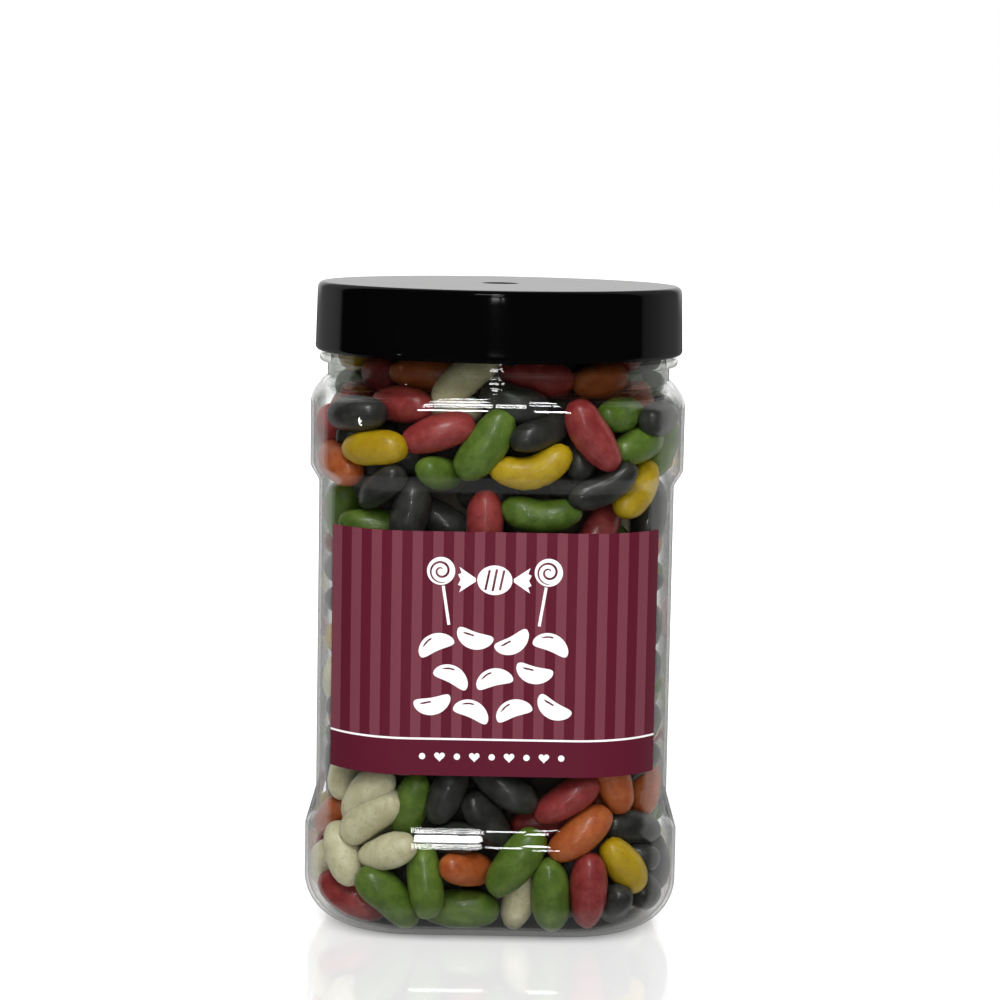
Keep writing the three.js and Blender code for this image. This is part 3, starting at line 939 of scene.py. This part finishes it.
def pushApart(balls, offset, radii, pairs, stiff):  # moves and turns, and the deepest overlap
    first, second = pairs
    between = balls[first][:, :, None] - balls[second][:, None]
    gap = np.linalg.norm(between, axis=3)
    overlap = radii[first][:, :, None] + radii[second][:, None] - gap
    pair, a, b = np.nonzero(overlap > 0)
    push = between[pair, a, b] / np.maximum(gap[pair, a, b], 1e-6)[:, None]
    push = push * overlap[pair, a, b][:, None]
    one, two = first[pair], second[pair]
    share = (stiff[one] / (stiff[one] + stiff[two]))[:, None]
    shift, swing = np.zeros((len(balls), 3)), np.zeros((len(balls), 3))
    for who, ball, move in ((one, a, push * share), (two, b, -push * (1 - share))):
        np.add.at(shift, who, move)
        np.add.at(swing, who, np.cross(offset[who, ball], move))
    return shift, swing, float(overlap.max())


def settle(place, axis, bend, shape, size, firm, home):  # beans that overlap make room
    count, fixed = len(place), len(firm)
    curve = np.array([bean["shapes"][k][0] for k in shape])
    stiff = np.ones(count)
    soft, hard = heap["stiffness"]
    stiff[:fixed] = (soft + (hard - soft) * firm)[:, 0]
    soft, hard = heap["holdDepth"]
    holdDepth = soft + (hard - soft) * firm
    reach = 2 * (bean["halfSpine"] + bean["radius"]) * bean["sizes"][1]
    every, slack = heap["search"]
    forward, wide = heap["behind"]
    owner = np.repeat(np.arange(count), 3)
    for step in range(heap["rounds"]):
        if step % every == 0:
            apart = np.linalg.norm(place[:, None] - place[None], axis=2)
            pairs = np.nonzero(np.triu(apart < reach + slack, 1))
        offset, balls, radii = ballsOf(place, axis, bend, curve, size)
        shift, swing, deepest = pushApart(balls, offset, radii, pairs, stiff)
        dip, inward = wallDips(balls, radii)
        move = inward * dip[:, None]
        np.add.at(shift, owner, move * heap["wallPush"])
        np.add.at(swing, owner, np.cross(offset.reshape(-1, 3), move))
        high = np.maximum(0, balls[:, :, 2].max(axis=1) - heap["top"])
        shift[:, 2] -= high * heap["topPush"]
        if step < heap["rounds"] - heap["freeRounds"]:
            shift[fixed:, 2] -= heap["sink"] / heap["push"]
            behind = (place[fixed:, 1] < forward) & (np.abs(place[fixed:, 0]) < wide)
            shift[fixed:, 1] += heap["retreat"] / heap["push"] * behind
        place = place + shift * heap["push"]
        turn = swing * (heap["push"] / (2 * bean["halfSpine"] ** 2))
        hold = heap["hold"] * min(1, (heap["rounds"] - 1 - step) / heap["freeRounds"])
        for values, wanted in zip((place, axis, bend), home):
            back = wanted - values[:fixed]
            across = np.sum(back * home[3], axis=1, keepdims=True) * home[3]
            values[:fixed] += (back - across) * hold + across * holdDepth
        axis = unit(axis + np.cross(turn, axis))
        bend = squareTo(axis, bend + np.cross(turn, bend))
    for step in range(heap["lastRounds"]):  # last of all, none of them stays in the wall
        offset, balls, radii = ballsOf(place, axis, bend, curve, size)
        dip, inward = wallDips(balls, radii, heap["lastGap"])
        worst = np.arange(count) * 3 + dip.reshape(-1, 3).argmax(axis=1)
        place = place + inward[worst] * dip[worst][:, None]
    drift = np.linalg.norm(home[0] - place[:fixed], axis=1)
    print(f"heap: deepest overlap {deepest:.2f} mm, front beans moved",
          f"{np.median(drift):.1f} to {drift.max():.1f} mm")
    return place, axis, bend


def beanCage(shape):  # a few dozen faces about a bent spine, smoothed later
    bend, girth, thick, taper, waist = shape
    length = bean["halfLength"] * bean["lengthGain"]
    shift, sides = bean["bendShift"], bean["sides"]
    rings = []
    for stop in bean["stops"]:
        radius = bean["radius"] * bean["girthGain"] * math.sqrt(1 - abs(stop) ** bean["fullness"])
        pinch = math.exp(-bean["waistWidth"] * stop * stop)
        radius *= (1 + taper * stop) * (1 - waist * pinch)
        lean = math.atan2(-2 * bend * stop, length)
        ring = []
        for i in range(sides):
            turn = 2 * math.pi * i / sides
            across, side = radius * girth * math.cos(turn), radius * thick * math.sin(turn)
            x = stop * length - across * math.sin(lean)
            y = bend * (shift - stop * stop) + across * math.cos(lean)
            ring.append((x * mm, y * mm, side * mm))
        rings.append(ring)
    points, faces = skinRings(rings)
    for middle, side in ((-2, -1), (-1, 1)):
        points[middle] = (side * length * mm, bend * (shift - 1) * mm, 0)
    return points, faces


def beanTree(shapes, material):  # a smoothed bean on every point, as its attributes say
    tree = bpy.data.node_groups.new("beanHeap", "GeometryNodeTree")
    face = tree.interface
    face.new_socket("Geometry", in_out="INPUT", socket_type="NodeSocketGeometry")
    smoothness = face.new_socket("Smoothness", in_out="INPUT", socket_type="NodeSocketInt")
    uneven = face.new_socket("Unevenness", in_out="INPUT", socket_type="NodeSocketFloat")
    face.new_socket("Geometry", in_out="OUTPUT", socket_type="NodeSocketGeometry")
    entry = tree.nodes.new("NodeGroupInput")

    def given(name):
        return Wire(tree, entry.outputs[name])

    def add(kind, sockets=None, settings=None):
        return addNode(tree, kind, settings, sockets)

    def named(name, kind):
        return add("GeometryNodeInputNamedAttribute", {"Name": name}, {"data_type": kind})

    cages = add("GeometryNodeCollectionInfo", {
        "Collection": shapes, "Separate Children": True, "Reset Children": True})
    placed = add("GeometryNodeInstanceOnPoints", {
        "Points": given("Geometry"), "Instance": cages, "Pick Instance": True,
        "Instance Index": named("shape", "INT"), "Rotation": named("turn", "QUATERNION"),
        "Scale": named("size", "FLOAT_VECTOR")})
    whole = add("GeometryNodeRealizeInstances", {"Geometry": placed})
    smooth = add("GeometryNodeSubdivisionSurface", {"Mesh": whole, "Level": given("Smoothness")})
    lumps = add("ShaderNodeTexNoise", {
        "Vector": add("GeometryNodeInputPosition"), "Scale": bean["lumps"], "Detail": 1.0})
    lift = (lumps - 0.5) * given("Unevenness")
    normal = add("GeometryNodeInputNormal")
    offset = add("ShaderNodeVectorMath", {0: normal, "Scale": lift}, {"operation": "SCALE"})
    moved = add("GeometryNodeSetPosition", {"Geometry": smooth, "Offset": offset})
    shaded = add("GeometryNodeSetShadeSmooth", {"Geometry": moved})
    done = add("GeometryNodeSetMaterial", {"Geometry": shaded, "Material": material})
    endTree(tree, "NodeGroupOutput", "Geometry", done)
    return tree, {smoothness.identifier: bean["smoothness"], uneven.identifier: bean["uneven"]}


def sugarShell(name):  # satin, with blotches, fine pores and a tone of its own for each bean
    _, deep, pale, soak = beanColours[name]
    material, tree, coords = newMaterial(name + "SugarShell")
    tone = addNode(tree, "ShaderNodeAttribute", {"attribute_name": "tone"}, {}, "Fac")
    blotch = noise(coords, bean["blotches"], 4.0, 0.62)
    pores = noise(coords, bean["pores"])
    cloud = noise(coords, bean["clouds"])
    share = blotch.ease(0.36, 0.68) * 0.5 + tone * 0.3 + cloud.ease(0.45, 0.8) * 0.3
    specks = pores.ease(0.58, 0.74) * 0.45
    sockets = {
        "Base Color": specks.mix(share.least(1.0).mix(deep, pale), tuple(0.5 * c for c in deep)),
        "Roughness": 0.32 + blotch * 0.2,
        "Normal": bump(pores * 0.25 + blotch * 0.8, bean["relief"]),
        "IOR": 1.42, "Coat Weight": 0.4, "Coat Roughness": 0.2, "Subsurface Weight": soak,
        "Subsurface Radius": (0.9, 0.7, 0.5), "Subsurface Scale": 0.004,
    }
    return finishMaterial(material, addNode(tree, "ShaderNodeBsdfPrincipled", {}, sockets))


def makeBeans():
    place, axis, bend, shape, size, colour = makeHeap()
    shapes = bpy.data.collections.new("beanShapes")
    for number, form in enumerate(bean["shapes"]):
        cage = newPiece(f"beanShape{number}", *beanCage(form), None)
        bpy.context.scene.collection.objects.unlink(cage)
        shapes.objects.link(cage)
    pieces = []
    for index, name in enumerate(colourNames):
        mine = colour == index
        points = bpy.data.meshes.new("beans" + name.title())
        points.from_pydata([tuple(p) for p in place[mine] * mm], [], [])
        turns = []
        for x, y in zip(axis[mine], bend[mine]):
            turns.extend(Matrix(np.stack([x, y, np.cross(x, y)], 1).tolist()).to_quaternion())
        count = int(mine.sum())
        stretch = draws.uniform(*bean["stretch"], (count, 3)) * size[mine][:, None]
        for attribute, kind, key, values in (
                ("turn", "QUATERNION", "value", turns),
                ("size", "FLOAT_VECTOR", "vector", stretch.ravel()),
                ("shape", "INT", "value", shape[mine].astype(np.int32)),
                ("tone", "FLOAT", "value", draws.random(count))):
            points.attributes.new(attribute, kind, "POINT").data.foreach_set(key, values)
        piece = addObject(points.name, points)
        growth = piece.modifiers.new("beanHeap", "NODES")
        growth.node_group, inputs = beanTree(shapes, sugarShell(name))
        for socket, value in inputs.items():
            growth[socket] = value
        applyModifiers(piece)
        pieces.append(piece)
        print(piece.name + ":", count, "beans,", len(piece.data.polygons), "faces")
    for cage in list(shapes.objects):
        bpy.data.objects.remove(cage)
    bpy.data.collections.remove(shapes)
    return pieces


core = {  # a dark body in place of the inner beans: its colour is painted shade for the heap's unlit middle, behind the beans
    "half": 30,
    "cornerCentre": 12,
    "low": 15,
    "high": 131.5,
    "swell": (0.8, 37),  # how deep its waves are, and how many radians of them
    "rings": 25,
    "turns": 48,
    "blotches": 90.0,
    "deep": (0.02, 0.018, 0.015),
    "pale": (0.06, 0.045, 0.03),
    "relief": 0.001,
}


def makeCore():
    rings = []
    swell, waves = core["swell"]
    for share in np.linspace(0, 1, core["rings"]):
        z = core["low"] + share * (core["high"] - core["low"])
        half = core["half"] + swell * math.sin(share * waves)
        rings.append(squareRing(half, core["cornerCentre"], z, core["turns"]))
    material, tree, coords = newMaterial("heapShade")
    blotch = noise(coords, core["blotches"], 3.0)
    sockets = {
        "Base Color": blotch.mix(core["deep"], core["pale"]),
        "Roughness": 0.7 + blotch * 0.2,
        "Normal": bump(blotch, core["relief"]),
    }
    finishMaterial(material, addNode(tree, "ShaderNodeBsdfPrincipled", {}, sockets))
    return newPiece("beanCore", *skinRings(rings), material)


for piece in [*makeBeans(), makeCore()]:
    attach(piece, "jelly_beans")

studio = {
    "floorRings": (0.02, 0.2, 0.6, 2, 5, 14.0),
    "floorHeight": -0.0001,
    "floor": (0.30, 0.30, 0.30),
    "floorSpecks": (0.31, 0.31, 0.31),
    "floorGlow": (0.95, 1.4),  # near the jar and far off: the lower glow near the jar is painted shade
    "farOff": (0.15, 0.6),  # metres between which the glow changes from one to the other
    "contactShadow": (31, 43),  # painted contact shadow: millimetres over which the glow sets in under the jar's heel
    "floorMirror": 0.4,  # share that the polished floor mirrors
    "backdrop": 1.0,  # brightness that the camera sees
    "dome": 0.36,  # brightness that lights the beans
    "frontGlow": 0.004,  # what glossy surfaces mirror: this and, by direction, the next four
    "sideGlow": (0.8, 0.62),  # on the left and right
    "sideStart": (0.28, 0.36, 0.149),  # from front to back, and how much further back on the left
    "sideFade": (0.5, 0.9, 0.55),
    "backFade": (0.94, 0.985, 0.8),
    "behind": (0.8, 0.95),
    "horizon": (-0.06, -0.02),
    "tableGlow": (0.5, 0.8, 0.25),
    "aim": (0, 0, 0.08),  # where the lamps point
    "lamps": (  # place, size and watts of the soft lamps, which nothing mirrors
        ((-0.30, -0.80, 1.45), (0.8, 0.7), 12.0),
        ((0.6, -0.9, 0.8), (0.7, 0.7), 4.0),
        ((0.35, 1.0, 0.9), (0.8, 0.7), 9.0),
    ),
    "shineLamp": ((-0.12, -0.80, 1.12), (0.3, 0.3), 3.4),  # for the beans' shine, not the jar's
    "strips": (  # lowest and highest elevation, and the millimetres of the jar's front they take
        (4, 8, -36, -3), (24, 30, -34, -2), (39, 44, -36, -3), (53, 60, -33, -4),
        (24, 31, -1, 8), (4, 9, 10, 17), (38, 45, 10, 17),
    ),
    "stripDistance": 1.3,
    "stripHeight": 0.1,
    "stripGlow": 80.0,  # watts for each square metre
    "sparks": (((-0.56, -0.30, 0.105), 0.006, 0.05), ((-0.56, -0.30, 0.098), 0.006, 0.05)),
}

camera = {
    "distance": 0.650,
    "height": 0.1822,
    "pitch": 0.113,
    "roll": 0.018,
    "sensor": 36,
    "lens": 94.42,
    "shift": (0.0032, -0.0292),
    "farthest": 100,
}


def paleFloor():
    material, tree, coords = newMaterial("paleFloor")
    speck = noise(coords, 800.0)
    x, y = coords.along("X"), coords.along("Y")
    # painted contact shadow under the jar, and painted shade around it where the glow is lower
    low, high = studio["contactShadow"]
    clear = ((x ** 4.0 + y ** 4.0) ** 0.25).ease(low * mm, high * mm)
    far = addNode(tree, "ShaderNodeVectorMath", {"operation": "LENGTH"}, {0: coords}, "Value")
    near, distant = studio["floorGlow"]
    glow = (near + far.ease(*studio["farOff"]) * (distant - near)) * clear
    sockets = {
        "Base Color": speck.mix(studio["floor"], studio["floorSpecks"]), "Roughness": 0.9,
        "Specular IOR Level": 0.0, "Emission Color": glow.grey(), "Emission Strength": 1.0,
    }
    plain = addNode(tree, "ShaderNodeBsdfPrincipled", {}, sockets)
    sockets = {"Color": (1.0, 1.0, 1.0), "Roughness": 0.03 + speck * 0.02}
    mirror = addNode(tree, "ShaderNodeBsdfGlossy", {}, sockets)
    return finishMaterial(material, mixShader(studio["floorMirror"], plain, mirror))


def makeFloor():
    rings = [circle(radius, studio["floorHeight"], 96) for radius in studio["floorRings"]]
    points, faces = skinRings(rings)
    faces = [face for face in faces if len(face) == 4 or max(face) == len(points) - 2]
    floor = newPiece("studioFloor", points, faces, paleFloor(), smooth=False)
    turnOutwards(floor)
    floor.visible_glossy = False
    return floor


def makeWorld():
    world = bpy.data.worlds.new("studio")
    bpy.context.scene.world = world
    world.use_nodes = True
    world.cycles.sampling_method = "NONE"
    tree = world.node_tree
    tree.nodes.clear()
    way = addNode(tree, "ShaderNodeTexCoord", output="Generated")
    x, y, z = (way.along(axis) for axis in "XYZ")
    left, right = studio["sideGlow"]
    low, high, slant = studio["sideStart"]
    sides = (y + x * slant).ease(low, high) * (left + x.ease(-0.3, 0.3) * (right - left))
    for low, high, loss in (studio["sideFade"], studio["backFade"]):
        sides = sides * (1 - y.ease(low, high) * loss)
    behind = y.ease(*studio["behind"]) * z.ease(*studio["horizon"])
    low, high, glow = studio["tableGlow"]
    mirrored = studio["frontGlow"] + sides.most(behind).most((-z).ease(low, high) * glow)
    glossyRay = addNode(tree, "ShaderNodeLightPath", output="Is Glossy Ray")
    cameraRay = addNode(tree, "ShaderNodeLightPath", output="Is Camera Ray")
    strength = glossyRay * mirrored + (1 - glossyRay) * studio["dome"]
    strength = cameraRay * studio["backdrop"] + (1 - cameraRay) * strength
    sockets = {"Color": (1.0, 1.0, 1.0), "Strength": strength}
    back = addNode(tree, "ShaderNodeBackground", {}, sockets)
    endTree(tree, "ShaderNodeOutputWorld", "Surface", back)


def addLamp(name, kind, place, watts):
    thing = addObject(name, bpy.data.lights.new(name, kind))
    thing.data.energy = watts
    thing.location = place
    thing.visible_camera = False
    return thing


def stripLamp(low, high, left, right):  # placed so that the jar's flat front mirrors it there
    front, away = jar["lowerHalf"] * mm, studio["stripDistance"]
    near = camera["distance"] - front
    elevation = math.radians((low + high) / 2)
    far = away * math.cos(elevation) - front
    stretch = (near + far) / near * mm
    size = (right - left) * stretch, away * math.radians(high - low)
    height = studio["stripHeight"] + away * math.sin(elevation)
    place = (left + right) / 2 * stretch, -far - front, height
    return place, size, size[0] * size[1] * studio["stripGlow"]


def makeLights():
    soft = [(*lamp, False) for lamp in studio["lamps"]]
    strips = [stripLamp(*strip) for strip in studio["strips"]]
    shiny = [(*lamp, True) for lamp in (studio["shineLamp"], *strips)]
    for number, (place, size, watts, glossy) in enumerate(soft + shiny):
        thing = addLamp(f"lamp{number}", "AREA", place, watts)
        thing.data.shape = "RECTANGLE"
        thing.data.size, thing.data.size_y = size
        way = Vector(studio["aim"]) - Vector(place)
        thing.rotation_euler = way.to_track_quat("-Z", "Y").to_euler()
        thing.visible_glossy = glossy
        if number == len(soft):
            unlit = bpy.data.collections.new("unlitByShineLamp")
            unlit.objects.link(jarShell)
            thing.light_linking.receiver_collection = unlit
            unlit.collection_objects[0].light_linking.link_state = "EXCLUDE"
    for number, (place, radius, watts) in enumerate(studio["sparks"]):
        thing = addLamp(f"spark{number}", "POINT", place, watts)
        thing.data.shadow_soft_size = radius
        thing.visible_diffuse = False


def makeCamera():
    data = bpy.data.cameras.new("camera")
    data.sensor_width = camera["sensor"]
    data.lens = camera["lens"]
    data.shift_x, data.shift_y = camera["shift"]
    data.clip_end = camera["farthest"]
    thing = addObject("camera", data)
    tilt = Matrix.Rotation(math.pi / 2 - camera["pitch"], 4, "X")
    tilt = tilt @ Matrix.Rotation(camera["roll"], 4, "Z")
    place = Matrix.Translation((0, -camera["distance"], camera["height"]))
    thing.matrix_world = place @ tilt
    bpy.context.scene.camera = thing


makeFloor()
makeWorld()
makeLights()
makeCamera()
scene = bpy.context.scene
scene.view_settings.view_transform = "Standard"
scene.cycles.max_bounces = 16
scene.cycles.transparent_max_bounces = 24
scene.cycles.use_denoising = True
print("floor, lights and camera placed")
